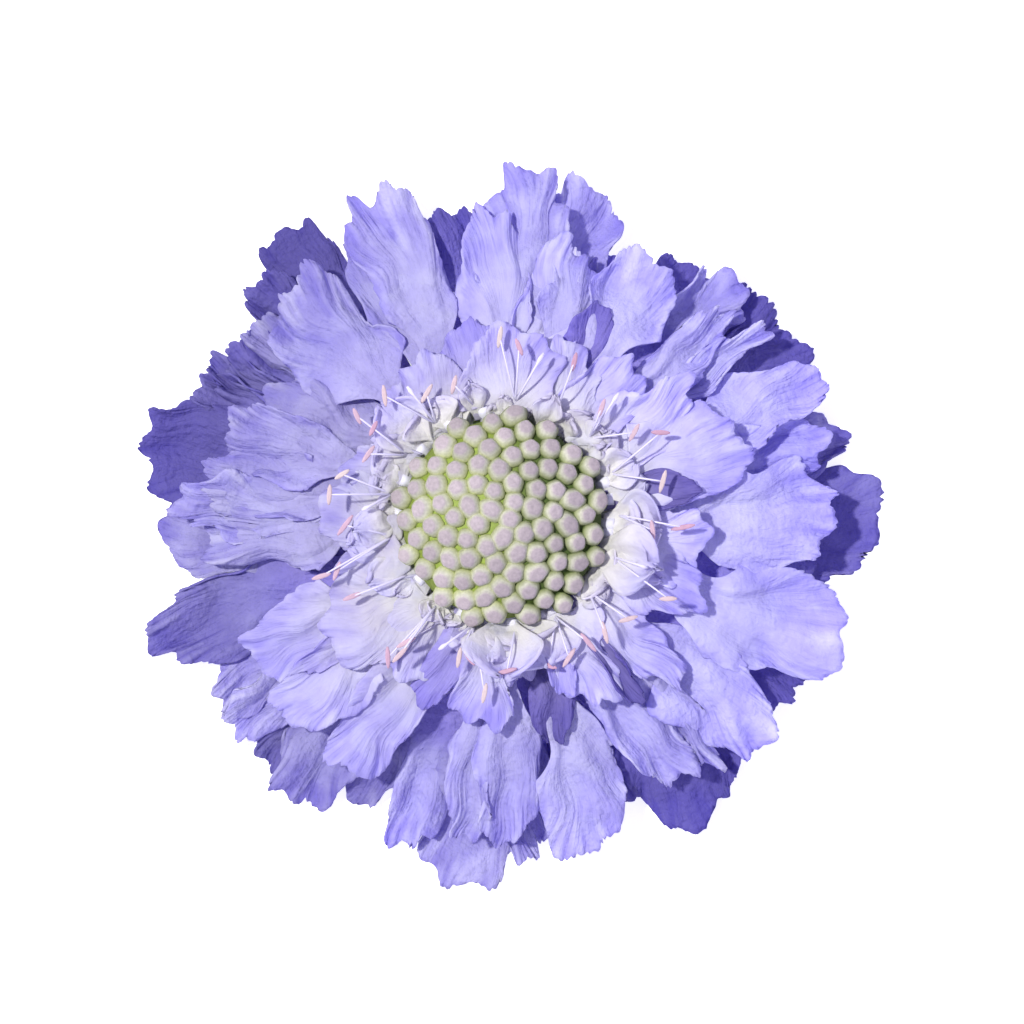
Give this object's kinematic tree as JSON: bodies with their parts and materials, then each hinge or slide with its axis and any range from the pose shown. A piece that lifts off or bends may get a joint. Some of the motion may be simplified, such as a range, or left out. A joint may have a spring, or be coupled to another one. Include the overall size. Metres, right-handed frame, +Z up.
{
  "type": "scabiosa flower",
  "caption": "Cut pincushion flower lying face up: whorls of frilled lavender petals round a domed disc of closed buds, with green bracts and a short bent stem beneath.",
  "frame": {"origin": "centre of the bounding box in plan, on the surface that the flower lies on", "axes": "+Z up, the way the flower faces; +X and +Y in plan, with the stem's cut end at +X and a little towards -Y"},
  "size_m": [0.0736, 0.0722, 0.0186],
  "materials": {
    "stem": "matte",
    "bracts": "matte",
    "petals_outer": "satin",
    "petals_middle": "satin",
    "petals_inner": "satin",
    "disc": "matte"
  },
  "bodies": {
    "root": {"stem": "stem", "involucre": "bracts", "ray_florets_outer": "petals_outer", "ray_florets_middle": "petals_middle", "ray_florets_inner": "petals_inner", "disc_buds": "disc"}
  },
  "joints": []
}
